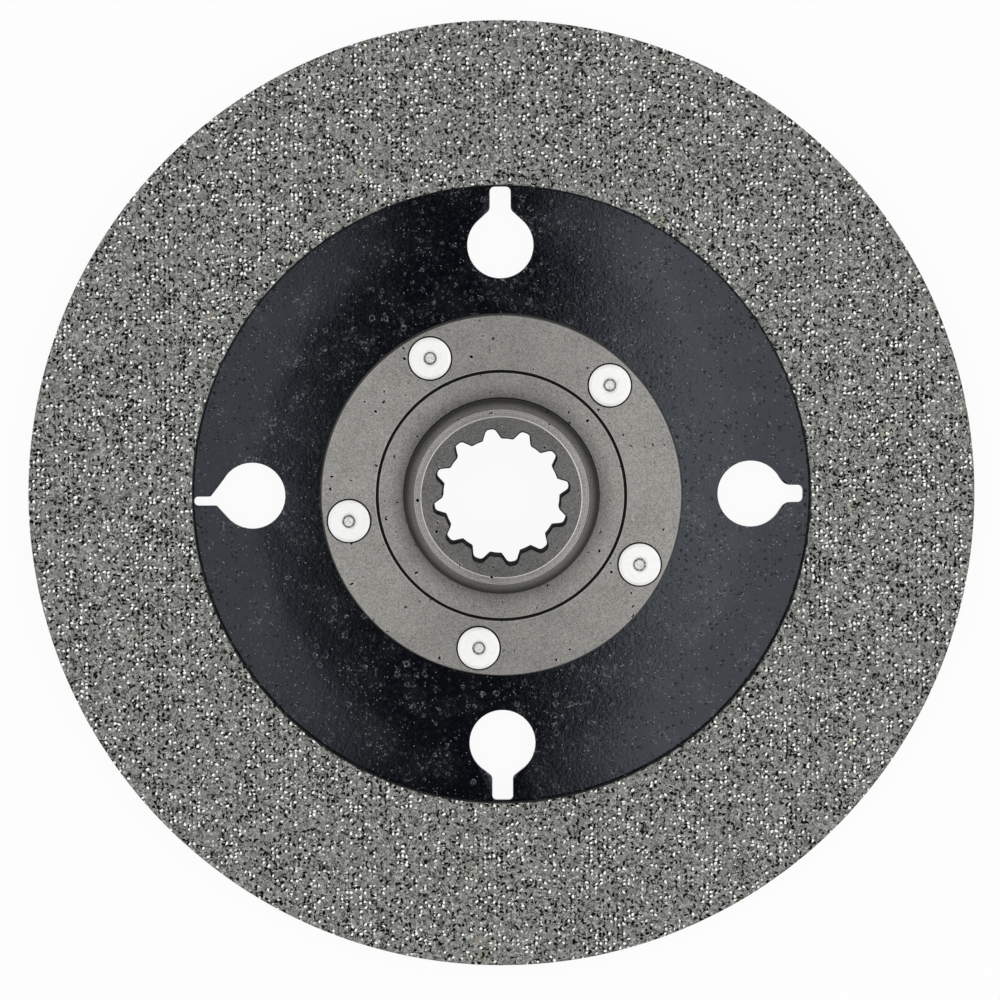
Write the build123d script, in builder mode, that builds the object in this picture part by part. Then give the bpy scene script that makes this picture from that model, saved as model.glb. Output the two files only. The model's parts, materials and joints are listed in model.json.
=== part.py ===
from build123d import *
import os
from math import cos, hypot, radians, sin, tan

# Rigid clutch disc: a splined hub riveted to a slotted plate with a friction facing bonded on each side.
# Millimetres. +Z is the disc's axis and points to the hub's barrel; z = 0 is the rear facing's outer face.

# Thicknesses and lengths along the axis
facing_thickness = 3.3
plate_thickness = 1.9
flange_thickness = 5.2
barrel_length = 9.6

# Friction facings
facing_diameter = 228.6
facing_bore = 149.6

# Driven plate, with four round holes that open into slots
plate_inset = 0.5
hole_to_facing = 14.4
hole_diameter = 16.0
flare_angle = 45.0
centre_hole_margin = 1.65
# hole_to_facing is from a hole's centre to the facing's bore, end_gap from the slot's closed end to it,
# and side_step is how far the slot lies off the hole's centre line. From flare_angle on the hole's edge a
# straight flare runs to the slot's two sides, which start at left_neck and right_neck past the hole's edge.
# The centre hole clears the spline's roots by centre_hole_margin.
right_slot = dict(angle=0, width=4.15, end_gap=1.8, side_step=0.0, left_neck=0.3, right_neck=0.3,
                  neck_radius=2.6, corner_radius=1.2)
top_slot = dict(angle=90, width=5.05, end_gap=0.3, side_step=0.0, left_neck=0.5, right_neck=0.5,
                neck_radius=1.8, corner_radius=1.2)
left_slot = dict(angle=180, width=2.15, end_gap=0.3, side_step=1.25, left_neck=0.7, right_neck=2.1,
                 neck_radius=0.9, corner_radius=1.0)
bottom_slot = dict(angle=270, width=5.0, end_gap=0.5, side_step=0.0, left_neck=0.2, right_neck=0.2,
                   neck_radius=1.5, corner_radius=1.0)

# Twelve-tooth spline with tapered flanks and rounded roots
spline_teeth = 12
spline_minor_diameter = 28.1
spline_tooth_height = 2.3
spline_mouth_width = 4.45
spline_root_width = 2.05
spline_root_radius = 1.1
spline_angle = 9.1

# Hub outline: drafted flange flat on the plate, straight barrel rounding over into a chamfer
flange_margin = 1.7
flange_draft = 7.0
barrel_wall = 7.1
barrel_straight_height = 4.4
barrel_round_width = 2.6
end_chamfer_width = 1.6
end_chamfer_height = 1.0
groove_distance = 6.5
groove_width = 0.7
groove_depth = 1.2

# Rivets, with flat heads on the flange and tails formed on the back of the plate
rivet_count = 5
rivet_circle_diameter = 74.5
rivet_angle = 45.25
rivet_shank_diameter = 6.35
rivet_hole_clearance = 0.05
rivet_head_diameter = 10.1
rivet_head_height = 0.95
rivet_tail_diameter = 9.6
rivet_tail_height = 1.6

# Levels worked out from the sizes above
plate_back = facing_thickness
plate_front = plate_back + plate_thickness
flange_face = plate_front + flange_thickness
barrel_straight_top = flange_face + barrel_straight_height
hub_end = flange_face + barrel_length
rivet_top = flange_face + rivet_head_height
rivet_tail_end = plate_back - rivet_tail_height

# Radii worked out from the sizes above
plate_radius = facing_diameter / 2 - plate_inset
hole_circle_radius = facing_bore / 2 - hole_to_facing
hole_radius = hole_diameter / 2
flare_x = hole_radius * cos(radians(flare_angle))
flare_y = hole_radius * sin(radians(flare_angle))
spline_minor_radius = spline_minor_diameter / 2
spline_major_radius = spline_minor_radius + spline_tooth_height
centre_hole_radius = spline_major_radius + centre_hole_margin
barrel_radius = spline_major_radius + barrel_wall
groove_radius = barrel_radius + groove_distance
rivet_circle_radius = rivet_circle_diameter / 2
rivet_hole_radius = rivet_shank_diameter / 2 + rivet_hole_clearance
flange_radius = rivet_circle_radius + rivet_head_diameter / 2 + flange_margin
flange_face_radius = flange_radius - flange_thickness * tan(radians(flange_draft))

os.makedirs("parts", exist_ok=True)


def write_piece(piece, name):
    piece.label = name
    export_step(piece, f"parts/{name}.step")


def rivet_pattern():
    return PolarLocations(rivet_circle_radius, rivet_count, start_angle=rivet_angle)


# Driven plate: blank with centre and rivet holes, then one keyhole slot at each quarter
with BuildPart() as driven_plate:
    with BuildSketch(Plane.XY.offset(plate_back)):
        Circle(plate_radius)
        Circle(centre_hole_radius, mode=Mode.SUBTRACT)
        with rivet_pattern():
            Circle(rivet_hole_radius, mode=Mode.SUBTRACT)
    extrude(amount=plate_thickness)
    for slot in (right_slot, top_slot, left_slot, bottom_slot):
        turn = radians(slot["angle"])
        slot_plane = Plane(origin=(0, 0, plate_back), x_dir=(cos(turn), sin(turn), 0), z_dir=(0, 0, 1))
        slot_end = facing_bore / 2 - slot["end_gap"]
        slot_length = slot_end - hole_circle_radius
        with BuildSketch(slot_plane) as keyhole:
            with Locations((hole_circle_radius, 0)):
                Circle(hole_radius)
                left_side = slot["side_step"] + slot["width"] / 2
                right_side = slot["side_step"] - slot["width"] / 2
                Polygon((flare_x, flare_y), (hole_radius + slot["left_neck"], left_side),
                        (hole_radius + slot["right_neck"], right_side), (flare_x, -flare_y), align=None)
            with Locations((slot_end - slot_length / 2, slot["side_step"])):
                Rectangle(slot_length, slot["width"])
            fillet(keyhole.vertices().sort_by(Axis.X)[-4:-2], slot["neck_radius"])
            fillet(keyhole.vertices().sort_by(Axis.X)[-2:], min(slot["corner_radius"], 0.48 * slot["width"]))
        extrude(amount=plate_thickness, mode=Mode.SUBTRACT)
write_piece(driven_plate.part, "driven_plate")

# Front and rear facings, bonded to the plate
with BuildPart() as front_facing:
    with BuildSketch(Plane.XY.offset(plate_front)):
        Circle(facing_diameter / 2)
        Circle(facing_bore / 2, mode=Mode.SUBTRACT)
    extrude(amount=facing_thickness)
write_piece(front_facing.part, "front_facing")

with BuildPart() as rear_facing:
    with BuildSketch(Plane.XY.offset(plate_back)):
        Circle(facing_diameter / 2)
        Circle(facing_bore / 2, mode=Mode.SUBTRACT)
    extrude(amount=-facing_thickness)
write_piece(rear_facing.part, "rear_facing")

# Splined hub: turned outline and face groove, drilled rivet holes, then the broached spline
with BuildPart() as splined_hub:
    with BuildSketch(Plane.XZ):
        with BuildLine():
            flank = Polyline((0, plate_front),
                             (flange_radius, plate_front),
                             (flange_face_radius, flange_face),
                             (barrel_radius, flange_face),
                             (barrel_radius, barrel_straight_top))
            round_over = TangentArc(flank @ 1,
                                    (barrel_radius - barrel_round_width, hub_end - end_chamfer_height),
                                    tangent=(0, 1))
            Polyline(round_over @ 1,
                     (barrel_radius - barrel_round_width - end_chamfer_width, hub_end),
                     (0, hub_end),
                     (0, plate_front))
        make_face()
    revolve(axis=Axis.Z)
    with BuildSketch(Plane.XZ):
        with Locations((groove_radius, flange_face)):
            Rectangle(groove_width, groove_depth, align=(Align.CENTER, Align.MAX))
    revolve(axis=Axis.Z, mode=Mode.SUBTRACT)
    with BuildSketch(Plane.XY.offset(plate_front)):
        with rivet_pattern():
            Circle(rivet_hole_radius)
    extrude(amount=flange_thickness, mode=Mode.SUBTRACT)
    with BuildSketch(Plane.XY.offset(plate_front)):
        Circle(spline_minor_radius)
        half_mouth = spline_mouth_width / 2
        half_root = spline_root_width / 2
        mouth_radius = (spline_minor_radius ** 2 - half_mouth ** 2) ** 0.5
        with PolarLocations(0, spline_teeth, start_angle=spline_angle):
            Polygon((0, 0), (mouth_radius, -half_mouth), (spline_major_radius, -half_root),
                    (spline_major_radius, half_root), (mouth_radius, half_mouth), align=None)
    extrude(amount=hub_end - plate_front, mode=Mode.SUBTRACT)
    corner_radius = hypot(spline_major_radius, half_root)
    root_corners = splined_hub.edges().filter_by(Axis.Z).filter_by(
        lambda edge: abs(hypot(edge.center().X, edge.center().Y) - corner_radius) < 0.01)
    fillet(root_corners, min(spline_root_radius, 0.6 * spline_root_width))
write_piece(splined_hub.part, "splined_hub")

# Rivets: head, shank and formed tail, each rivet turned about its own axis
for number, location in enumerate(rivet_pattern(), start=1):
    centre = location.position
    with BuildPart() as rivet:
        with BuildSketch(Plane(origin=centre, x_dir=(1, 0, 0), z_dir=(0, -1, 0))):
            Polygon((0, rivet_tail_end),
                    (rivet_tail_diameter / 2, rivet_tail_end),
                    (rivet_tail_diameter / 2, plate_back),
                    (rivet_shank_diameter / 2, plate_back),
                    (rivet_shank_diameter / 2, flange_face),
                    (rivet_head_diameter / 2, flange_face),
                    (rivet_head_diameter / 2, rivet_top),
                    (0, rivet_top), align=None)
        revolve(axis=Axis(centre, (0, 0, 1)))
    write_piece(rivet.part, f"hub_rivet_{number}")
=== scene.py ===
import json
import math
import random

import bmesh
import bpy
import numpy as np
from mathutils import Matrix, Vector, noise


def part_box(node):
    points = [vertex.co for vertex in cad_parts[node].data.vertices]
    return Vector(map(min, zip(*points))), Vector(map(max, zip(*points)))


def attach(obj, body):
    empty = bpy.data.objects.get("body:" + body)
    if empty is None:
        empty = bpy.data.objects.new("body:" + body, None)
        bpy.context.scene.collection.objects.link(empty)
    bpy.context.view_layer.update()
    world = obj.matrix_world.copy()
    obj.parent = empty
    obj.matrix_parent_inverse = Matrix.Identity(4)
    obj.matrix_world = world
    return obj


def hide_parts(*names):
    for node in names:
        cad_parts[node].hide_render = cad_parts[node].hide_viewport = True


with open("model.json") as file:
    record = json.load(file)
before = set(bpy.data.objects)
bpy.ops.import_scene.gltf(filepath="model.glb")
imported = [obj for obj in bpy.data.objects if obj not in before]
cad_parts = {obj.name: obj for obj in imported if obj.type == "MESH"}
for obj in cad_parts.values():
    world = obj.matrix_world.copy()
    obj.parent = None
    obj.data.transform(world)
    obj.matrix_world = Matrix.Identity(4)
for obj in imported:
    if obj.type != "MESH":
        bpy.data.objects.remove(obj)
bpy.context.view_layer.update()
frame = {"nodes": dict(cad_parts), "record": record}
cadNodes = frame["nodes"]
mm = 0.001
print("frame loaded:", len(cadNodes), "nodes")


def radiiOf(node):
    # smallest and largest distance of a CAD node's points from the disc's axis, in mm
    reach = [math.hypot(v.co.x, v.co.y) / mm for v in cadNodes[node].data.vertices]
    return min(reach), max(reach)


def levelsOf(node):
    # lowest and highest point of a CAD node, in mm
    low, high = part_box(node)
    return low.z / mm, high.z / mm


def centreOf(node):
    low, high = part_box(node)
    return (low.x + high.x) / 2 / mm, (low.y + high.y) / 2 / mm


def newObject(name, data):
    made = bpy.data.objects.new(name, data)
    bpy.context.scene.collection.objects.link(made)
    return made


# Camera: high above the disc and a little towards its top edge

cameraSettings = {
    "place": (0.0, 0.0404, 0.9435),
    "tiltDegrees": -2.544,
    "rollDegrees": -0.25,
    "lens": 139.45,
    "sensor": 36.0,
    "shiftX": -0.0007,
}


def placeCamera(settings):
    data = bpy.data.cameras.new("benchCamera")
    data.sensor_width = settings["sensor"]
    data.lens = settings["lens"]
    data.shift_x = settings["shiftX"]
    data.clip_start = 0.05
    camera = newObject("benchCamera", data)
    camera.location = settings["place"]
    camera.rotation_euler = (math.radians(settings["tiltDegrees"]), 0, math.radians(settings["rollDegrees"]))
    bpy.context.scene.camera = camera


placeCamera(cameraSettings)


# Mesh helpers

def roundedProfile(corners, arcSteps=4, support=0.05, longest=None, closed=True):
    # corners are (radius, height, bend, wear); gives (radius, height, wear) with arcs and support rings
    count = len(corners)
    stops = []
    for index, (r, z, bend, wear) in enumerate(corners):
        here = np.array((r, z))
        if bend <= 0 or (not closed and index in (0, count - 1)):
            stops.append([(here, wear)])
            continue
        before = np.array(corners[index - 1][:2]) - here
        after = np.array(corners[(index + 1) % count][:2]) - here
        before /= np.linalg.norm(before)
        after /= np.linalg.norm(after)
        half = math.acos(np.clip(before @ after, -1, 1)) / 2
        centre = here + (before + after) / np.linalg.norm(before + after) * bend / math.sin(half)
        first = here + before * bend / math.tan(half) - centre
        last = here + after * bend / math.tan(half) - centre
        swing = math.pi - 2 * half
        arc = []
        for step in range(arcSteps + 1):
            share = step / arcSteps
            way = (math.sin((1 - share) * swing) * first + math.sin(share * swing) * last) / math.sin(swing)
            arc.append((centre + way, wear))
        stops.append(arc)
    profile = []
    for index, arc in enumerate(stops):
        profile += [(p[0], p[1], wear) for p, wear in arc]
        if not closed and index == count - 1:
            break
        start, end = arc[-1][0], stops[(index + 1) % count][0][0]
        length = np.linalg.norm(end - start)
        if length < 3 * support:
            continue
        pieces = 1 if longest is None else max(1, math.ceil((length - 2 * support) / longest))
        for step in range(pieces + 1):
            along = (support + (length - 2 * support) * step / pieces) / length
            spot = start + (end - start) * along
            profile.append((spot[0], spot[1], 0.0))
    return profile


def turnedMesh(name, rings, turns, centre=(0.0, 0.0), closed=True, layers=("wear",)):
    # rings are (radius, height, layer values...)
    # a radius may hold one value per turn, complex where it leaves its turn
    steps = len(turns)
    points = []
    marks = {layer: [] for layer in layers}
    for ring in rings:
        spot = np.broadcast_to(ring[0], steps) * np.exp(1j * turns)
        height = np.full(steps, ring[1])
        points.append(np.column_stack((centre[0] + spot.real, centre[1] + spot.imag, height)))
        for layer, value in zip(layers, ring[2:]):
            marks[layer].append(np.broadcast_to(value, steps))
    faces = []
    for i in range(len(rings) if closed else len(rings) - 1):
        a, b = i * steps, (i + 1) % len(rings) * steps
        for j in range(steps):
            k = (j + 1) % steps
            faces.append((a + j, a + k, b + k, b + j))
    mesh = bpy.data.meshes.new(name)
    mesh.from_pydata((np.concatenate(points) * mm).tolist(), [], faces)
    for layer, values in marks.items():
        made = mesh.attributes.new(layer, "FLOAT", "POINT")
        made.data.foreach_set("value", np.concatenate(values).astype(np.float32))
    work = bmesh.new()
    work.from_mesh(mesh)
    bmesh.ops.remove_doubles(work, verts=work.verts, dist=1e-7)
    bmesh.ops.recalc_face_normals(work, faces=work.faces)
    work.to_mesh(mesh)
    work.free()
    mesh.shade_smooth()
    return newObject(name, mesh)


def evenTurns(steps):
    return np.linspace(0, 2 * math.pi, steps, endpoint=False)


def settle(piece, material, slotName, *replaced):
    # gives a piece its material, its body, and the CAD nodes it stands for
    piece.data.materials.clear()
    piece.data.materials.append(material)
    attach(piece, "root")
    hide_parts(*replaced)
    return piece


# Node helpers

def setInputs(tree, node, values):
    # each value is a number or a colour, or the output that feeds the input
    for key, value in values.items():
        if isinstance(value, bpy.types.NodeSocket):
            tree.links.new(value, node.inputs[key])
        else:
            node.inputs[key].default_value = value


def addNode(tree, kind, values=None, **settings):
    node = tree.nodes.new("ShaderNode" + kind)
    for name, value in settings.items():
        setattr(node, name, value)
    setInputs(tree, node, values or {})
    return node


def maths(tree, operation, first, second=0.0, clamp=False):
    return addNode(tree, "Math", {0: first, 1: second}, operation=operation, use_clamp=clamp).outputs[0]


def plus(tree, first, second, clamp=False):
    return maths(tree, "ADD", first, second, clamp)


def minus(tree, first, second):
    return maths(tree, "SUBTRACT", first, second)


def times(tree, first, second, clamp=False):
    return maths(tree, "MULTIPLY", first, second, clamp)


def slope(tree, value, low, high, bottom=0.0, top=1.0):
    # smooth step from bottom to top as value goes from low to high
    return addNode(tree, "MapRange", {0: value, 1: low, 2: high, 3: bottom, 4: top},
                   interpolation_type="SMOOTHSTEP").outputs[0]


def blendColours(tree, share, first, second, kind="MIX"):
    node = addNode(tree, "Mix", {0: share, 6: first, 7: second}, data_type="RGBA", blend_type=kind)
    return node.outputs[2]


def rgb(red, green, blue):
    return (red, green, blue, 1.0)


def noiseAt(tree, vector, scale, detail=2.0, roughness=0.5, distortion=0.0, dimensions="3D"):
    values = {"Vector": vector, "Scale": scale, "Detail": detail, "Roughness": roughness,
              "Distortion": distortion}
    return addNode(tree, "TexNoise", values, noise_dimensions=dimensions)


def cellsAt(tree, vector, scale, spread=1.0, dimensions="3D"):
    return addNode(tree, "TexVoronoi", {"Vector": vector, "Scale": scale, "Randomness": spread},
                   voronoi_dimensions=dimensions, feature="F1")


def vectorMaths(tree, operation, first, second):
    return addNode(tree, "VectorMath", {0: first, 1: second}, operation=operation).outputs[0]


def shiftedBy(tree, vector, offset):
    return vectorMaths(tree, "ADD", vector, offset)


def scaledBy(tree, vector, scale):
    return addNode(tree, "VectorMath", {0: vector, "Scale": scale}, operation="SCALE").outputs[0]


def lengthOf(tree, vector):
    return addNode(tree, "VectorMath", {0: vector}, operation="LENGTH").outputs["Value"]


def channels(tree, colour):
    return addNode(tree, "SeparateColor", {0: colour}).outputs


def newGroup(name, inputs, outputs):
    # a node group; inputs hold the defaults of its numbers, and None for a vector; outputs are numbers
    # gives the tree, its input sockets by name, and a function that sets an output
    tree = bpy.data.node_groups.new(name, "ShaderNodeTree")
    for socket, value in inputs.items():
        kind = "NodeSocketVector" if value is None else "NodeSocketFloat"
        made = tree.interface.new_socket(socket, in_out="INPUT", socket_type=kind)
        if value is not None:
            made.default_value = value
    for socket in outputs:
        tree.interface.new_socket(socket, in_out="OUTPUT", socket_type="NodeSocketFloat")
    entry = tree.nodes.new("NodeGroupInput").outputs
    leaving = tree.nodes.new("NodeGroupOutput").inputs
    return tree, entry, lambda socket, value: tree.links.new(value, leaving[socket])


def useGroup(tree, group, place, settings, **inputs):
    node = tree.nodes.new("ShaderNodeGroup")
    node.node_tree = group
    setInputs(tree, node, {"Place": place, **settings, **inputs})
    return node.outputs


def newMaterial(name):
    # an empty node material with its Principled shader, and the place in mm
    material = bpy.data.materials.new(name)
    material.use_nodes = True
    tree = material.node_tree
    tree.nodes.clear()
    shader = addNode(tree, "BsdfPrincipled")
    output = addNode(tree, "OutputMaterial")
    tree.links.new(shader.outputs[0], output.inputs["Surface"])
    place = addNode(tree, "TexCoord").outputs["Object"]
    return material, tree, shader, scaledBy(tree, place, 1 / mm)


def sumOf(tree, start, *parts):
    # the start value plus each part, given as (value, share), times its share
    for value, share in parts:
        start = plus(tree, start, times(tree, value, share))
    return start


def relief(tree, shader, heights):
    # heights in mm, added up and turned into a normal
    total = heights[0]
    for height in heights[1:]:
        total = plus(tree, total, height)
    bump = addNode(tree, "Bump", {"Strength": 1.0, "Distance": mm, "Height": total})
    tree.links.new(bump.outputs[0], shader.inputs["Normal"])


def layerOf(tree, name):
    return addNode(tree, "Attribute", attribute_name=name).outputs["Fac"]


# Effects that several finishes share

def makeGrain():
    # fine mottling about 0, from -1 to 1
    tree, entry, leave = newGroup("fineGrain", {"Place": None, "Size": 1.0, "Rough": 0.6}, ["Value"])
    scale = maths(tree, "DIVIDE", 1.0, entry["Size"])
    grain = noiseAt(tree, entry["Place"], scale, 3.0, entry["Rough"])
    leave("Value", times(tree, minus(tree, grain.outputs[0], 0.5), 4.0))
    return tree


def makePits():
    # scattered round pits: a mask of the hole, one of the raised rim, and the height in mm
    inputs = {"Place": None, "Spacing": 3.0, "Radius": 0.3, "Share": 0.5, "Depth": 0.1, "Rim": 0.02}
    tree, entry, leave = newGroup("scatteredPits", inputs, ["Hole", "Edge", "Height"])
    warp = noiseAt(tree, entry["Place"], 1.6, 0.0, dimensions="2D").outputs[1]
    warp = scaledBy(tree, shiftedBy(tree, warp, (-0.5, -0.5, -0.5)), 0.75)
    bent = shiftedBy(tree, entry["Place"], warp)
    cells = cellsAt(tree, bent, maths(tree, "DIVIDE", 1.0, entry["Spacing"]), 0.9, "2D")
    red, green, blue = channels(tree, cells.outputs["Color"])[:3]
    distance = times(tree, cells.outputs["Distance"], entry["Spacing"])
    size = times(tree, entry["Radius"], plus(tree, 0.45, times(tree, green, green)))  # mostly small ones
    crowd = noiseAt(tree, entry["Place"], 0.11, 1.0, dimensions="2D").outputs[0]
    crowd = slope(tree, crowd, 0.38, 0.64, 0.3, 1.9)  # pits come in clusters
    chosen = maths(tree, "LESS_THAN", red, times(tree, entry["Share"], crowd))
    part = maths(tree, "DIVIDE", distance, size)
    hole = times(tree, slope(tree, part, 1.0, 0.7), chosen)
    edge = times(tree, slope(tree, part, 1.7, 1.25), slope(tree, part, 0.85, 1.1))
    edge = times(tree, edge, chosen)
    raised, sunk = times(tree, edge, entry["Rim"]), times(tree, hole, entry["Depth"])
    leave("Hole", hole)
    leave("Edge", edge)
    leave("Height", minus(tree, raised, sunk))
    return tree


def makeScratches():
    # short thin curved lines where a slow noise crosses Level, broken up by a second one
    inputs = {"Place": None, "Length": 3.0, "Width": 0.02, "Amount": 0.5, "Level": 0.5}
    tree, entry, leave = newGroup("fineLines", inputs, ["Line"])
    scale = maths(tree, "DIVIDE", 1.0, entry["Length"])
    field = noiseAt(tree, entry["Place"], scale, 2.0, 0.45, 0.4).outputs[0]
    away = maths(tree, "ABSOLUTE", minus(tree, field, entry["Level"]))
    line = slope(tree, maths(tree, "DIVIDE", away, entry["Width"]), 1.0, 0.35)
    elsewhere = shiftedBy(tree, entry["Place"], (31.0, 17.0, 5.0))
    gate = noiseAt(tree, elsewhere, times(tree, scale, 1.3), 1.0).outputs[0]
    limit = minus(tree, 0.75, times(tree, entry["Amount"], 0.5))  # Amount 1 opens about all of the noise
    gate = slope(tree, minus(tree, gate, limit), 0.0, 0.03)
    leave("Line", times(tree, line, gate))
    return tree


def makeDust():
    # small pale specks
    inputs = {"Place": None, "Spacing": 2.0, "Radius": 0.15, "Share": 0.4}
    tree, entry, leave = newGroup("dustSpecks", inputs, ["Speck"])
    cells = cellsAt(tree, entry["Place"], maths(tree, "DIVIDE", 1.0, entry["Spacing"]))
    red = channels(tree, cells.outputs["Color"])[0]
    distance = times(tree, cells.outputs["Distance"], entry["Spacing"])
    speck = slope(tree, maths(tree, "DIVIDE", distance, entry["Radius"]), 1.0, 0.5)
    strength = slope(tree, red, entry["Share"], 0.0)
    leave("Speck", times(tree, speck, strength))
    return tree


def makeEdgeWear():
    # breaks up an edge mask, so that a worn edge isn't an even line
    inputs = {"Place": None, "Edge": 0.0, "Patch": 1.5, "Keep": 0.6}
    tree, entry, leave = newGroup("edgeWear", inputs, ["Worn"])
    patches = noiseAt(tree, entry["Place"], maths(tree, "DIVIDE", 1.0, entry["Patch"]), 3.0, 0.6).outputs[0]
    kept = plus(tree, patches, minus(tree, entry["Keep"], 0.5))
    kept = slope(tree, kept, 0.42, 0.58)
    leave("Worn", times(tree, entry["Edge"], kept))
    return tree


fineGrain = makeGrain()
scatteredPits = makePits()
fineLines = makeScratches()
dustSpecks = makeDust()
edgeWear = makeEdgeWear()
print("shared effects ready")


# Friction linings

lining = {
    "turns": 1200,
    "cornerRadius": 0.22,
    "ringStep": 0.75,
    "relief": 0.02,
    "reliefSize": 1.3,
    "chipDepth": 0.6,
    "chipLevel": 0.12,
    "chipSize": 1.6,
    "wallDirt": 0.85,
    "base": rgb(0.221, 0.228, 0.209),
    "white": rgb(0.95, 0.96, 0.92),
    "black": rgb(0.003, 0.003, 0.003),
    "tan": rgb(0.36, 0.32, 0.2),
    "roughness": 0.85,
    "gloss": 0.1,
    "warpScale": 0.9,
    "crowdScale": 0.22,
    "crowding": 0.7,
    "wallSqueeze": 2.6,
    "paleBend": 0.3,
    "darkShift": (40.3, 11.7, 3.1),
    "darkBend": 0.9,
    "shadeShift": (0.32, -0.24, 0.0),
    "shadeBend": 0.9,
    "swirl": {"Size": 0.45, "Rough": 0.7},
    "swirlShare": 0.34,
    "swirlHeight": 0.014,
    "darkest": 0.15,
    "cloud": {"Size": 9.0, "Rough": 0.6},
    "cloudShare": 0.06,
    "darkLines": {"Length": 1.3, "Width": 0.05, "Amount": 0.7},
    "paleLines": {"Length": 1.2, "Width": 0.05, "Amount": 0.85, "Level": 0.56},
    "paleShare": 0.3,
    "darkShare": 0.75,
    "tanSpacing": 9.0,
    "tanShift": (7.0, 3.0, 0.0),
    "tanChance": 0.25,
    "tanShare": 0.5,
    "paleChips": {"spacing": 1.12, "length": 0.38, "width": 0.26, "bow": 0.4, "share": 0.29},
    "darkChips": {"spacing": 1.17, "length": 0.64, "width": 0.29, "bow": 0.9, "share": 0.49},
}


def makeLining(name, node, faceUp, settings):
    bore, rim = radiiOf(node)
    low, high = levelsOf(node)
    face, back = (high, low) if faceUp else (low, high)
    corner = settings["cornerRadius"]
    corners = [(bore, back, 0, 0), (bore, face, corner, 1), (rim, face, corner, 1), (rim, back, 0, 0)]
    rings = []
    for r, z, wear in roundedProfile(corners, arcSteps=3, longest=settings["ringStep"]):
        if abs(z - back) < 0.001 and bore + 0.1 < r < rim - 0.1:
            continue  # the bonded side stays flat
        wall = abs(z - face) > corner and min(abs(r - bore), abs(r - rim)) < 0.01
        grime = settings["wallDirt"] if wall and r < rim - 1 else 0.0  # only the bore's wall is darkened: painted shade
        rings.append((r, z, wear, grime, float(wall)))
    piece = turnedMesh(name, rings, evenTurns(settings["turns"]), layers=("wear", "grime", "wall"))
    inward = -1 if faceUp else 1
    edge = np.zeros(len(piece.data.vertices), np.float32)
    piece.data.attributes["wear"].data.foreach_get("value", edge)
    for vertex, worn in zip(piece.data.vertices, edge):
        place = vertex.co / mm
        if abs(place.z - face) < 0.01:
            vertex.co.z += settings["relief"] * mm * noise.noise(place * settings["reliefSize"])
        if worn > 0.5:
            chip = noise.noise(place / settings["chipSize"]) - settings["chipLevel"]
            chip = max(0.0, chip) * settings["chipDepth"]
            towards = 1 if place.xy.length < (bore + rim) / 2 else -1
            vertex.co.xy += Vector(place.xy).normalized() * chip * towards * mm
            vertex.co.z += inward * chip * mm
    return piece


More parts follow.
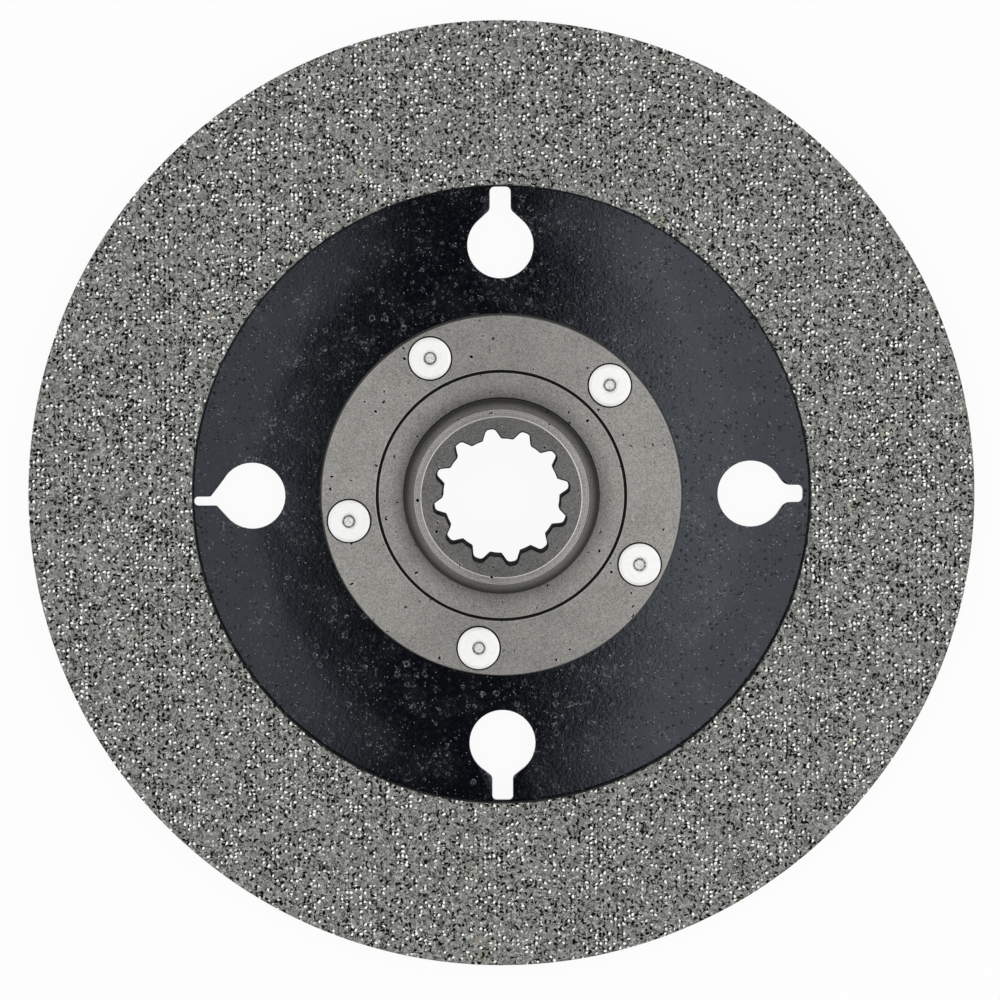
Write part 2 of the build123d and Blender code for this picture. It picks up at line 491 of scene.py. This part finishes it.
def liningMaterial(settings):
    material, tree, shader, place = newMaterial("moulded lining")
    warp = noiseAt(tree, place, settings["warpScale"], 1.0).outputs[1]
    warp = shiftedBy(tree, warp, (-0.5, -0.5, -0.5))
    crowd = noiseAt(tree, place, settings["crowdScale"], 2.0).outputs[0]
    crowd = times(tree, minus(tree, crowd, 0.5), settings["crowding"])
    walls = times(tree, layerOf(tree, "wall"), settings["wallSqueeze"])  # chips on the walls stay short

    def grains(offset, bending, chip):
        # short bent chips: the distance from each cell's middle, squeezed along a direction of its own
        spot = shiftedBy(tree, shiftedBy(tree, place, offset), scaledBy(tree, warp, bending))
        cells = cellsAt(tree, spot, 1 / chip["spacing"])
        pick, strength, turn = channels(tree, cells.outputs["Color"])[:3]
        away = vectorMaths(tree, "SUBTRACT", spot, cells.outputs["Position"])
        turn = times(tree, turn, 2 * math.pi)
        turned = addNode(tree, "VectorRotate", {"Vector": away, "Angle": turn}, rotation_type="Z_AXIS")
        along, across, depth = addNode(tree, "SeparateXYZ", {0: turned.outputs[0]}).outputs
        bow = times(tree, times(tree, along, along), chip["bow"])
        along = maths(tree, "DIVIDE", along, chip["length"])
        across = maths(tree, "DIVIDE", plus(tree, across, bow), chip["width"])
        depth = times(tree, depth, walls)
        reach = lengthOf(tree, addNode(tree, "CombineXYZ", {0: along, 1: across, 2: depth}).outputs[0])
        reach = maths(tree, "DIVIDE", reach, plus(tree, 0.7, times(tree, strength, 0.55)))
        shape = slope(tree, reach, 1.1, 0.85)
        kept = maths(tree, "LESS_THAN", pick, plus(tree, chip["share"], crowd))
        return times(tree, shape, kept), strength

    paleChip, paleStrength = grains((0, 0, 0), settings["paleBend"], settings["paleChips"])
    darkChip, darkStrength = grains(settings["darkShift"], settings["darkBend"], settings["darkChips"])
    # black copies of the pale chips, set a little off them: painted shadows beside the pale grains
    shade, shadeStrength = grains(settings["shadeShift"], settings["shadeBend"], settings["paleChips"])
    paleChip = times(tree, paleChip, slope(tree, paleStrength, 0.0, 0.6, 0.3, 1.0))
    darkChip = times(tree, darkChip, slope(tree, darkStrength, 0.0, 0.4, 0.5, 1.0))
    shade = times(tree, shade, slope(tree, shadeStrength, 0.2, 0.7, 0.0, 1.0))
    darkLines = useGroup(tree, fineLines, place, settings["darkLines"])["Line"]
    paleLines = useGroup(tree, fineLines, place, settings["paleLines"])["Line"]
    swirl = useGroup(tree, fineGrain, place, settings["swirl"])["Value"]
    cloud = useGroup(tree, fineGrain, place, settings["cloud"])["Value"]
    tone = sumOf(tree, 1.0, (swirl, settings["swirlShare"]), (cloud, settings["cloudShare"]))
    tone = maths(tree, "MAXIMUM", tone, settings["darkest"])
    base = scaledBy(tree, settings["base"][:3], tone)
    patch = cellsAt(tree, shiftedBy(tree, place, settings["tanShift"]), 1 / settings["tanSpacing"])
    patchPick = channels(tree, patch.outputs["Color"])[0]
    tan = slope(tree, patch.outputs["Distance"], 0.16, 0.06)  # a few small tan grains
    tan = times(tree, tan, maths(tree, "LESS_THAN", patchPick, settings["tanChance"]))
    colour = blendColours(tree, times(tree, tan, settings["tanShare"]), base, settings["tan"])
    colour = blendColours(tree, times(tree, paleLines, settings["paleShare"]), colour, settings["white"])
    colour = blendColours(tree, times(tree, darkLines, settings["darkShare"]), colour, settings["black"])
    colour = blendColours(tree, shade, colour, settings["black"])
    colour = blendColours(tree, darkChip, colour, settings["black"])
    colour = blendColours(tree, paleChip, colour, settings["white"])
    # the bore wall darkened: painted shade
    colour = blendColours(tree, layerOf(tree, "grime"), colour, settings["black"])
    setInputs(tree, shader, {"Base Color": colour, "Roughness": settings["roughness"],
                             "Specular IOR Level": settings["gloss"]})
    relief(tree, shader, [times(tree, swirl, settings["swirlHeight"])])
    return material


liningFinish = liningMaterial(lining)
settle(makeLining("frontLining", "front_facing", True, lining), liningFinish, "facing", "front_facing")
settle(makeLining("rearLining", "rear_facing", False, lining), liningFinish, "facing", "rear_facing")
print("linings ready")


# Driven plate, painted black

plate = {
    "edgeWidth": 0.14,
    "edgeSteps": 2,
    "sharpDegrees": 40,
    "paint": rgb(0.0008, 0.0013, 0.0029),
    "dust": rgb(0.5, 0.52, 0.55),
    "glue": rgb(0.001, 0.001, 0.001),
    "tint": rgb(0.8, 0.88, 1.0),
    "roughness": 0.07,
    "dish": -0.35,
    "dishFrom": 58.0,
    "dishTo": 80.0,
    "glueRadius": 74.7,
    "glueEdge": 0.1,
    "glueWobble": 0.12,
    "patchScale": 0.1,
    "patchShift": (5.0, 9.0, 0.0),
    "haze": 0.012,
    "crescents": 0.3,
    "pinholeRoughness": 0.5,
    "peel": {"Size": 0.8, "Rough": 0.65},
    "peelHeight": 0.005,
    "peelRoughness": 0.03,
    "wave": {"Size": 26.0, "Rough": 0.4},
    "waveHeight": 0.02,
    "craters": {"Spacing": 2.4, "Radius": 0.34, "Share": 0.34, "Depth": 0.11, "Rim": 0.06},
    "pinholeShift": (13.0, 71.0, 0.0),
    "pinholes": {"Spacing": 1.2, "Radius": 0.17, "Share": 0.25, "Depth": 0.08, "Rim": 0.03},
    "specks": {"Spacing": 0.9, "Radius": 0.16, "Share": 0.65},
    "lines": {"Length": 34.0, "Width": 0.0008, "Amount": 0.35},
    "wrinkles": {"Length": 1.4, "Width": 0.05, "Amount": 0.35},
    "dustShares": {"specks": 0.7, "lines": 0.03, "wrinkles": 0.16, "peel": 0.015},
}


def softenedCopy(node, name, settings):
    # a copy of a CAD node with its sharp edges rounded over
    work = bmesh.new()
    work.from_mesh(cadNodes[node].data)
    bmesh.ops.remove_doubles(work, verts=work.verts, dist=1e-6)
    bmesh.ops.dissolve_limit(work, angle_limit=math.radians(0.5), verts=work.verts, edges=work.edges)
    limit = math.radians(settings["sharpDegrees"])
    sharp = [e for e in work.edges if len(e.link_faces) == 2 and e.calc_face_angle() > limit]
    bmesh.ops.bevel(work, geom=sharp, offset=settings["edgeWidth"] * mm, segments=settings["edgeSteps"],
                    affect="EDGES", profile=0.5)
    bmesh.ops.triangulate(work, faces=[f for f in work.faces if len(f.verts) > 4])
    mesh = bpy.data.meshes.new(name)
    work.to_mesh(mesh)
    work.free()
    mesh.shade_smooth()
    piece = newObject(name, mesh)
    piece.modifiers.new("flatFaces", "WEIGHTED_NORMAL").weight = 100
    return piece


def plateMaterial(settings):
    material, tree, shader, place = newMaterial("black plate paint")
    peel = useGroup(tree, fineGrain, place, settings["peel"])["Value"]
    wave = useGroup(tree, fineGrain, place, settings["wave"])["Value"]
    craters = useGroup(tree, scatteredPits, place, settings["craters"])
    elsewhere = shiftedBy(tree, place, settings["pinholeShift"])
    pinholes = useGroup(tree, scatteredPits, elsewhere, settings["pinholes"])
    specks = useGroup(tree, dustSpecks, place, settings["specks"])["Speck"]
    lines = useGroup(tree, fineLines, place, settings["lines"])["Line"]
    wrinkles = useGroup(tree, fineLines, place, settings["wrinkles"])["Line"]
    elsewhere = shiftedBy(tree, place, settings["patchShift"])
    patches = noiseAt(tree, elsewhere, settings["patchScale"], 3.0, dimensions="2D").outputs[0]
    wrinkles = times(tree, wrinkles, slope(tree, patches, 0.5, 0.62))  # only here and there
    radius = lengthOf(tree, vectorMaths(tree, "MULTIPLY", place, (1, 1, 0)))
    dish = times(tree, slope(tree, radius, settings["dishFrom"], settings["dishTo"]), settings["dish"])
    # a black, matte ring on the plate along the linings' inner edge: painted shade in the corner
    reach = plus(tree, radius, times(tree, peel, settings["glueWobble"]))
    cornerShadeStart, cornerShadeEnd = (settings["glueRadius"] + sign * settings["glueEdge"] for sign in (-1, 1))
    glue = slope(tree, reach, cornerShadeStart, cornerShadeEnd)
    # real dust specks, lines, wrinkles and haze, with painted sheen where the peel rises
    shares = settings["dustShares"]
    dustAndSheen = sumOf(tree, times(tree, specks, shares["specks"]), (lines, shares["lines"]),
                  (wrinkles, shares["wrinkles"]), (maths(tree, "MAXIMUM", peel, 0.0), shares["peel"]))
    dustAndSheen = plus(tree, dustAndSheen, slope(tree, patches, 0.45, 0.75, 0.0, settings["haze"]))
    # the craters' rims lightened, more where the peel rises: painted highlights
    crescents = times(tree, craters["Edge"], slope(tree, peel, -0.35, 0.5, 0.0, settings["crescents"]))
    dustAndSheen = plus(tree, dustAndSheen, crescents, clamp=True)
    colour = blendColours(tree, dustAndSheen, settings["paint"], settings["dust"])
    colour = blendColours(tree, glue, colour, settings["glue"])
    rough = sumOf(tree, settings["roughness"], (peel, settings["peelRoughness"]),
                  (pinholes["Hole"], settings["pinholeRoughness"]))
    rough = maths(tree, "MAXIMUM", rough, glue)
    setInputs(tree, shader, {"Base Color": colour, "Roughness": rough, "IOR": 1.5,
                             "Specular Tint": settings["tint"]})
    peel, wave = times(tree, peel, settings["peelHeight"]), times(tree, wave, settings["waveHeight"])
    relief(tree, shader, [peel, wave, craters["Height"], pinholes["Height"], dish])
    return material


platePiece = softenedCopy("driven_plate", "drivenPlate", plate)
settle(platePiece, plateMaterial(plate), "plate_paint", "driven_plate")
print("plate ready")


# Splined hub: a turned outline with a broached bore

hub = {
    "edge": 0.15,
    "flangeEdge": 0.3,
    "footRadius": 0.3,
    "shoulderEdge": 0.45,
    "mouthEdge": 0.27,
    "boreEdge": 0.14,
    "boreSupport": 0.4,
    "boreRings": 8,
    "flangeHeight": 5.2,
    "flangeDraft": 7.0,
    "barrelRadius": 23.45,
    "straightHeight": 4.4,
    "roundWidth": 2.6,
    "roundSteps": 12,
    "chamferWidth": 1.6,
    "chamferHeight": 1.0,
    "chamferWear": 0.5,
    "landWidth": 0.6,
    "grooveRadius": 29.95,
    "grooveWidth": 0.7,
    "grooveDepth": 1.2,
    "teeth": 12,
    "splineDegrees": 9.1,
    "toothHeight": 2.3,
    "mouthWidth": 4.45,
    "mouthRadius": 0.45,
    "rootWidth": 2.05,
    "rootRadius": 1.1,
    "ringGap": 0.17,
    "ringWidth": 0.4,
    "forged": rgb(0.284, 0.277, 0.26),
    "turned": rgb(0.125, 0.123, 0.12),
    "bright": rgb(0.85, 0.83, 0.8),
    "grime": rgb(0.004, 0.004, 0.004),
    "rust": rgb(0.26, 0.235, 0.2),
    "rustShare": 0.35,
    "lathe": 0.75,
    "forgedRoughness": 0.44,
    "turnedRoughness": 0.3,
    "footDirt": 0.2,
    "grooveGrime": 0.86,
    "sideGrime": 0.55,
    "faceGrime": 0.2,
    "faceFade": 0.05,
    "barrelGrime": 0.41,
    "lowerGrime": 0.39,
    "lowerRise": 1.3,
    "rimGrime": 0.9,
    "grimeMottle": 0.25,
    "grimeRoughness": 0.8,
    "grain": {"Size": 0.32, "Rough": 0.8},
    "grainShare": 0.72,
    "grainHeight": 0.01,
    "grainRoughness": 0.04,
    "stain": {"Size": 9.0, "Rough": 0.65},
    "stainShare": 0.12,
    "pits": {"Spacing": 2.6, "Radius": 0.3, "Share": 0.24, "Depth": 0.12, "Rim": 0.01},
    "lines": {"Length": 9.0, "Width": 0.003, "Amount": 0.3},
    "worn": {"Patch": 1.2, "Keep": 0.75},
    "wornShare": 0.72,
    "chamferShare": 0.08,
    "pitRimShare": 0.15,
    "lineShare": 0.5,
}


def splineOutline(minorRadius, settings):
    # turn and radius of each point round the broached bore
    pitch = 2 * math.pi / settings["teeth"]
    halfMouth, halfRoot = settings["mouthWidth"] / 2, settings["rootWidth"] / 2
    rootX = minorRadius + settings["toothHeight"]
    mouthX = math.sqrt(minorRadius ** 2 - halfMouth ** 2)
    landX, landY = minorRadius * math.cos(pitch / 2), minorRadius * math.sin(pitch / 2)
    mouthBend, rootBend = settings["mouthRadius"], settings["rootRadius"]
    corners = [(landX, -landY, 0, 0), (mouthX, -halfMouth, mouthBend, 0), (rootX, -halfRoot, rootBend, 0),
               (rootX, halfRoot, rootBend, 0), (mouthX, halfMouth, mouthBend, 0), (landX, landY, 0, 0)]
    gap = roundedProfile(corners, arcSteps=6, support=0.1, longest=0.7, closed=False)[:-1]
    turns, radii = [], []
    for tooth in range(settings["teeth"]):
        middle = math.radians(settings["splineDegrees"]) + tooth * pitch
        for x, y, _ in gap:
            turns.append(middle + math.atan2(y, x))
            radii.append(math.hypot(x, y))
    return np.array(turns), np.array(radii)


def shiftedOutline(turns, radii, distance):
    # the bore's outline moved into the steel by a distance, as complex radii that go with the same turns
    spots = radii * np.exp(1j * turns)
    along = np.roll(spots, -1) - np.roll(spots, 1)
    return (spots - 1j * along / np.abs(along) * distance) / np.exp(1j * turns)


def makeHub(name, node, settings):
    bottom, top = levelsOf(node)
    flangeRadius = radiiOf(node)[1]
    face, edge = bottom + settings["flangeHeight"], settings["edge"]
    minorRadius = next(m for m in frame["record"]["mounts"] if m["name"] == "spline_bore")["dims"]["r_mm"]
    turns, bore = splineOutline(minorRadius, settings)
    faceRadius = flangeRadius - (face - bottom) * math.tan(math.radians(settings["flangeDraft"]))
    grooveIn = settings["grooveRadius"] - settings["grooveWidth"] / 2
    grooveOut = settings["grooveRadius"] + settings["grooveWidth"] / 2
    grooveFloor = face - settings["grooveDepth"]
    barrel, straightTop = settings["barrelRadius"], face + settings["straightHeight"]
    shoulder, shoulderTop = barrel - settings["roundWidth"], top - settings["chamferHeight"]
    mouth = shoulder - settings["chamferWidth"]
    rise = shoulderTop - straightTop
    bulge = (rise ** 2 + settings["roundWidth"] ** 2) / (2 * settings["roundWidth"])
    swing = math.asin(rise / bulge)
    arc = [(barrel - bulge + bulge * math.cos(swing * step / settings["roundSteps"]),
            straightTop + bulge * math.sin(swing * step / settings["roundSteps"]), 0, 0)
           for step in range(1, settings["roundSteps"])]
    footShadeEdge = barrel + settings["footDirt"]
    worn = settings["chamferWear"]  # how far the shoulder's worn edge, with its painted highlight, runs up the chamfer
    slant = settings["chamferHeight"] / settings["chamferWidth"]
    corners = [(mouth, bottom, 0, 0), (flangeRadius, bottom, edge, 0.5),
               (faceRadius, face, settings["flangeEdge"], 0.1), (grooveOut, face, edge, 0.6),
               (grooveOut, grooveFloor, 0, 0), (grooveIn, grooveFloor, 0, 0), (grooveIn, face, edge, 0.3),
               (footShadeEdge, face, 0, 0), (barrel, face, settings["footRadius"], 0), (barrel, straightTop, 0, 0),
               *arc, (shoulder, shoulderTop, settings["shoulderEdge"], 1),
               (shoulder - worn, shoulderTop + worn * slant, 0, 1),
               (mouth, top, settings["mouthEdge"], 1), (mouth - settings["landWidth"], top, 0, 0)]
    rings = []
    for r, z, wear in roundedProfile(corners, arcSteps=4, longest=2.0, closed=False):
        chamfered = z > shoulderTop and r > mouth + 0.3 * edge
        turned = z > shoulderTop and not chamfered
        grime = 0.0
        # the groove darkened: painted shade
        if grooveIn - 0.01 < r < grooveOut + 0.01 and z < face - 1.5 * edge:
            grime = settings["grooveGrime"]
        elif z < face - 1.5 * settings["flangeEdge"]:
            grime = settings["sideGrime"]  # the flange's drafted side and back, darkened: painted shade
        elif r < footShadeEdge + 0.01 and z < face + settings["footRadius"] + 0.1:
            grime = 1.0  # the barrel's foot, darkened: painted shade in the corner
        elif z < face + 0.01:
            grime = max(0.0, settings["faceGrime"] - settings["faceFade"] * (r - barrel))  # painted shade beside the barrel, fading outwards
        elif not turned and not chamfered and wear < 1:
            share = np.clip(settings["lowerRise"] * (r - shoulder) / (barrel - shoulder), 0, 1)
            grime = settings["barrelGrime"] + settings["lowerGrime"] * share ** 2  # darker towards the foot: a dark oxide film, with painted shade deepening towards the foot
        rings.append((r, z, wear, grime, float(turned), float(chamfered)))
    broken, steps = settings["boreEdge"], settings["boreRings"]
    depth = bottom - top + 2 * broken
    support, rim = (shiftedOutline(turns, bore, distance) for distance in (settings["boreSupport"], broken))
    land = (mouth + minorRadius + settings["toothHeight"]) / 2
    # the bore's broken edge and walls darkened: painted shade inside the bore
    rings += [(land, top, 0, 0, 1, 0), (support, top, 0, 0, 1, 0), (rim, top, 0, settings["rimGrime"], 1, 0)]
    rings += [(bore, top - broken + depth * step / steps, 0, 1, 1, 0) for step in range(steps + 1)]
    rings += [(rim, bottom, 0, 1, 1, 0), (support, bottom, 0, 0, 0, 0)]
    piece = turnedMesh(name, rings, turns, layers=("wear", "grime", "turned", "chamfered"))
    piece.modifiers.new("flatFaces", "WEIGHTED_NORMAL").weight = 100
    return piece


def makeRivetShadowRings():
    # a thin dark line round each rivet head, from the distance to the nearest rivet: a painted contact
    # shadow
    inputs = {"Place": None, "Circle": 37.25, "First": 0.79, "Middle": 5.2, "Width": 0.3}
    tree, entry, leave = newGroup("rivetRings", inputs, ["Line"])
    x, y, _ = addNode(tree, "SeparateXYZ", {0: entry["Place"]}).outputs
    radius = lengthOf(tree, vectorMaths(tree, "MULTIPLY", entry["Place"], (1, 1, 0)))
    pitch = 2 * math.pi / len(rivetNodes)
    turn = minus(tree, maths(tree, "ARCTAN2", y, x), entry["First"])
    turn = maths(tree, "FLOORED_MODULO", plus(tree, turn, pitch / 2), pitch)
    turn = minus(tree, turn, pitch / 2)
    across = times(tree, radius, maths(tree, "SINE", turn))
    along = minus(tree, times(tree, radius, maths(tree, "COSINE", turn)), entry["Circle"])
    reach = lengthOf(tree, addNode(tree, "CombineXYZ", {0: across, 1: along}).outputs[0])
    away = maths(tree, "ABSOLUTE", minus(tree, reach, entry["Middle"]))
    leave("Line", slope(tree, maths(tree, "DIVIDE", away, entry["Width"]), 0.6, 0.35))
    return tree


rivetNodes = sorted(n for n in cadNodes if n.startswith("hub_rivet"))
rivetRings = makeRivetShadowRings()


def hubMaterial(settings):
    material, tree, shader, place = newMaterial("turned and forged steel")
    grain = useGroup(tree, fineGrain, place, settings["grain"])["Value"]
    stain = useGroup(tree, fineGrain, place, settings["stain"])["Value"]
    pits = useGroup(tree, scatteredPits, place, settings["pits"])
    lines = useGroup(tree, fineLines, place, settings["lines"])["Line"]
    worn = useGroup(tree, edgeWear, place, settings["worn"], Edge=layerOf(tree, "wear"))["Worn"]
    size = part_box("hub_rivet_1")[1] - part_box("hub_rivet_1")[0]
    middle = max(abs(size.x), abs(size.y)) / 2 / mm + settings["ringGap"]
    firstX, firstY = centreOf("hub_rivet_1")
    # a painted contact shadow round each rivet head
    ring = useGroup(tree, rivetRings, place, {}, Circle=math.hypot(firstX, firstY),
                    First=math.atan2(firstY, firstX), Middle=middle, Width=settings["ringWidth"])["Line"]
    turned = layerOf(tree, "turned")
    # the grime layer: mostly painted shade in the groove, corners and bore, with some real grime, mottled
    # here
    shadeAndSoil = sumOf(tree, 1.0, (grain, settings["grimeMottle"]))
    shadeAndSoil = times(tree, layerOf(tree, "grime"), shadeAndSoil, clamp=True)
    shadeAndSoil = maths(tree, "MAXIMUM", shadeAndSoil, ring)
    tone = sumOf(tree, 1.0, (grain, settings["grainShare"]), (stain, settings["stainShare"]))
    # the turned faces' darker colour is a painted dark reflection; their smoother finish is in the roughness
    # below
    base = blendColours(tree, turned, settings["forged"], settings["turned"])
    chamfer = times(tree, layerOf(tree, "chamfered"), settings["chamferShare"])
    base = scaledBy(tree, blendColours(tree, chamfer, base, settings["bright"]), tone)
    rust = slope(tree, stain, 0.35, 1.1, 0.0, settings["rustShare"])
    base = blendColours(tree, rust, base, settings["rust"])
    # the pits' raised rims lightened: painted highlights
    colour = blendColours(tree, times(tree, pits["Edge"], settings["pitRimShare"]), base, settings["bright"])
    # worn edges lightened: real wear, with painted highlights along the chamfer's edges
    colour = blendColours(tree, times(tree, worn, settings["wornShare"]), colour, settings["bright"])
    colour = blendColours(tree, times(tree, lines, settings["lineShare"]), colour, settings["grime"])
    colour = blendColours(tree, pits["Hole"], colour, settings["grime"])
    colour = blendColours(tree, shadeAndSoil, colour, settings["grime"])
    rough = slope(tree, turned, 0.0, 1.0, settings["forgedRoughness"], settings["turnedRoughness"])
    rough = sumOf(tree, rough, (grain, settings["grainRoughness"]))
    rough = maths(tree, "MAXIMUM", rough, times(tree, shadeAndSoil, settings["grimeRoughness"]))
    latheWay = addNode(tree, "Tangent", direction_type="RADIAL", axis="Z").outputs[0]
    setInputs(tree, shader, {"Base Color": colour, "Metallic": 1.0, "Roughness": rough,
                             "Anisotropic": settings["lathe"], "Anisotropic Rotation": 0.25,
                             "Tangent": latheWay})
    relief(tree, shader, [times(tree, grain, settings["grainHeight"]), pits["Height"]])
    return material


settle(makeHub("splinedHub", "splined_hub", hub), hubMaterial(hub), "hub_steel", "splined_hub")
print("hub ready")


# Rivets

rivet = {
    "turns": 96,
    "bevelWidth": 0.7,
    "bevelDrop": 0.22,
    "edge": 0.12,
    "dishRadius": 2.1,
    "dishRound": 0.3,
    "dimpleRadius": 1.6,
    "dimpleDepth": 0.42,
    "dimpleLip": 0.12,
    "dimpleTaper": 0.92,
    "nubRadius": 1.25,
    "nubHeight": 0.34,
    "nubTaper": 0.85,
    "nubOffset": 0.2,
    "tailInset": 0.25,
    "tailRound": 0.9,
    "shankRadius": 3.175,
    "zinc": rgb(0.93, 0.93, 0.92),
    "grime": rgb(0.17, 0.15, 0.125),
    "nubGrime": 0.33,
    "dishGrime": 0.12,
    "grain": {"Size": 0.8, "Rough": 0.6},
    "grainShare": 0.03,
    "grainHeight": 0.003,
    "blotch": {"Size": 0.5, "Rough": 0.7},
    "lines": {"Length": 4.0, "Width": 0.006, "Amount": 0.4},
    "lineColour": rgb(0.4, 0.4, 0.4),
    "lineShare": 0.3,
    "metallic": 0.4,
    "roughness": 0.42,
    "seed": 7,
}


def makeRivet(name, node, settings, dice):
    low, high = levelsOf(node)
    head = (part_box(node)[1].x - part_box(node)[0].x) / 2 / mm
    tailSeat, plateTop = levelsOf("driven_plate")
    seat = plateTop + hub["flangeHeight"]
    tail = head - settings["tailInset"]
    dish, dimple, deep = settings["dishRadius"], settings["dimpleRadius"], high - settings["dimpleDepth"]
    nub, nubTop, shank = settings["nubRadius"], deep + settings["nubHeight"], settings["shankRadius"]
    corners = [(0, nubTop, 0, 0), (nub * settings["nubTaper"], nubTop, 0.1, 1), (nub, deep, 0.05, 0),
               (dimple * settings["dimpleTaper"], deep, 0.05, 0),
               (dimple, high - settings["dimpleLip"], 0.1, 1), (dish, high, settings["dishRound"], 0.5),
               (head - settings["bevelWidth"], high, 0.2, 1),
               (head, high - settings["bevelDrop"], settings["edge"], 1), (head, seat, 0, 0),
               (shank, seat, 0, 0), (shank, tailSeat, 0, 0), (tail, tailSeat, 0.1, 0),
               (tail, low, settings["tailRound"], 1), (0, low, 0, 0)]
    rings = []
    for r, z, wear in roundedProfile(corners, arcSteps=4, longest=1.0, closed=False):
        # the dimple's groove, floor and dish darkened: painted shade, with some brown stain on the nub
        groove = z < high - 0.15 and nub * 0.9 < r < dimple + 0.02
        grime = settings["nubGrime"] if r < dimple else settings["dishGrime"] if r < dish else 0.0
        rings.append((r, z, wear, 1.0 if groove else grime))
    piece = turnedMesh(name, rings, evenTurns(settings["turns"]), centreOf(node), closed=False,
                       layers=("wear", "grime"))
    middle = Vector(centreOf(node)) * mm
    away = dice.uniform(0, 2 * math.pi)
    push = Vector((math.cos(away), math.sin(away))) * settings["nubOffset"] * mm
    for vertex in piece.data.vertices:
        reach = (vertex.co.xy - middle).length / mm
        if vertex.co.z > seat * mm and reach < dish:
            vertex.co.xy += push * (1 - reach / dish)
    piece.modifiers.new("flatFaces", "WEIGHTED_NORMAL").weight = 100
    return piece


def rivetMaterial(settings):
    material, tree, shader, place = newMaterial("white zinc plate")
    grain = useGroup(tree, fineGrain, place, settings["grain"])["Value"]
    blotch = useGroup(tree, fineGrain, place, settings["blotch"])["Value"]
    lines = useGroup(tree, fineLines, place, settings["lines"])["Line"]
    base = scaledBy(tree, settings["zinc"][:3], sumOf(tree, 1.0, (grain, settings["grainShare"])))
    colour = blendColours(tree, times(tree, lines, settings["lineShare"]), base, settings["lineColour"])
    # painted shade in the dimple and dish, broken up by blotches
    shadeAndSoil = times(tree, layerOf(tree, "grime"), plus(tree, 0.9, blotch), clamp=True)
    colour = blendColours(tree, shadeAndSoil, colour, settings["grime"])
    setInputs(tree, shader, {"Base Color": colour, "Metallic": settings["metallic"],
                             "Roughness": settings["roughness"]})
    relief(tree, shader, [times(tree, grain, settings["grainHeight"])])
    return material


rivetFinish = rivetMaterial(rivet)
dice = random.Random(rivet["seed"])
for node in rivetNodes:
    number = node.rsplit("_", 1)[1]
    settle(makeRivet("hubRivet" + number, node, rivet, dice), rivetFinish, "rivet_zinc", node)
print("rivets ready")


# Floor, studio world and lamps

studio = {
    "floorSide": 14.0,
    "floorShare": 0.93,
    "floorDrop": 0.00005,
    "floorColour": rgb(0.9, 0.9, 0.9),
    "horizonLight": 1.0,
    "zenithLight": 0.04,
    "boxHeight": 1.3,
    "boxes": {
        "rightInner": {"x": (0.056, 0.085), "y": (-0.9, 0.9), "level": 0.68},
        "rightMiddle": {"x": (0.085, 0.125), "y": (-0.17, 0.09), "level": 2.2},
        "rightUpper": {"x": (0.085, 0.125), "y": (0.09, 0.9), "level": 1.6},
        "rightLower": {"x": (0.085, 0.125), "y": (-0.9, -0.17), "level": 1.5},
        "rightOuter": {"x": (0.125, 1.25), "y": (-0.9, 0.9), "level": 1.25},
        "leftInner": {"x": (-0.105, -0.07), "y": (-0.9, 0.9), "level": 0.04},
        "leftMiddle": {"x": (-0.135, -0.105), "y": (-0.9, 0.07), "level": 0.2},
        "leftUpper": {"x": (-0.135, -0.105), "y": (0.07, 0.9), "level": 0.42},
        "leftOuter": {"x": (-1.25, -0.135), "y": (-0.9, 0.9), "level": 0.95},
    },
}


def makeFloor(settings):
    half = settings["floorSide"] / 2
    mesh = bpy.data.meshes.new("paleFloor")
    corners = [(-half, -half, 0), (half, -half, 0), (half, half, 0), (-half, half, 0)]
    mesh.from_pydata(corners, [], [(0, 1, 2, 3)])
    floor = newObject("paleFloor", mesh)
    floor.location.z = -settings["floorDrop"]
    material = bpy.data.materials.new("pale floor")
    material.use_nodes = True
    tree = material.node_tree
    tree.nodes.clear()
    diffuse = addNode(tree, "BsdfDiffuse", {"Color": settings["floorColour"]})
    glow = addNode(tree, "Emission", {"Color": rgb(1, 1, 1), "Strength": 1.0})
    path = addNode(tree, "LightPath")
    seen = maths(tree, "MAXIMUM", path.outputs["Is Camera Ray"], path.outputs["Is Glossy Ray"])
    seen = maths(tree, "MAXIMUM", seen, path.outputs["Is Transmission Ray"])
    share = times(tree, seen, settings["floorShare"])
    mix = addNode(tree, "MixShader", {0: share, 1: diffuse.outputs[0], 2: glow.outputs[0]})
    addNode(tree, "OutputMaterial", {"Surface": mix.outputs[0]})
    mesh.materials.append(material)


def makeWorld(settings):
    world = bpy.data.worlds.new("paleStudio")
    bpy.context.scene.world = world
    world.use_nodes = True
    tree = world.node_tree
    tree.nodes.clear()
    way = addNode(tree, "TexCoord").outputs["Generated"]
    up = addNode(tree, "SeparateXYZ", {0: way}).outputs[2]
    level = slope(tree, up, 0.35, 0.8, settings["horizonLight"], settings["zenithLight"])
    glow = addNode(tree, "Background", {"Color": rgb(1, 1, 1), "Strength": level})
    addNode(tree, "OutputWorld", {"Surface": glow.outputs[0]})


def makeBoxes(settings):
    # the plate mirrors the boxes' plane at about 2.4 times its own x and y
    # each box therefore lights one strip of the plate
    for name, box in settings["boxes"].items():
        width, depth = box["x"][1] - box["x"][0], box["y"][1] - box["y"][0]
        data = bpy.data.lights.new(name, "AREA")
        data.shape = "RECTANGLE"
        data.size, data.size_y = width, depth
        data.energy = box["level"] * 4 * width * depth  # level is the brightness seen in a mirror
        lamp = newObject(name, data)
        lamp.location = (sum(box["x"]) / 2, sum(box["y"]) / 2, settings["boxHeight"])
        lamp.visible_camera = False


makeFloor(studio)
makeWorld(studio)
makeBoxes(studio)
bpy.context.scene.view_settings.view_transform = "Standard"
print("studio ready")
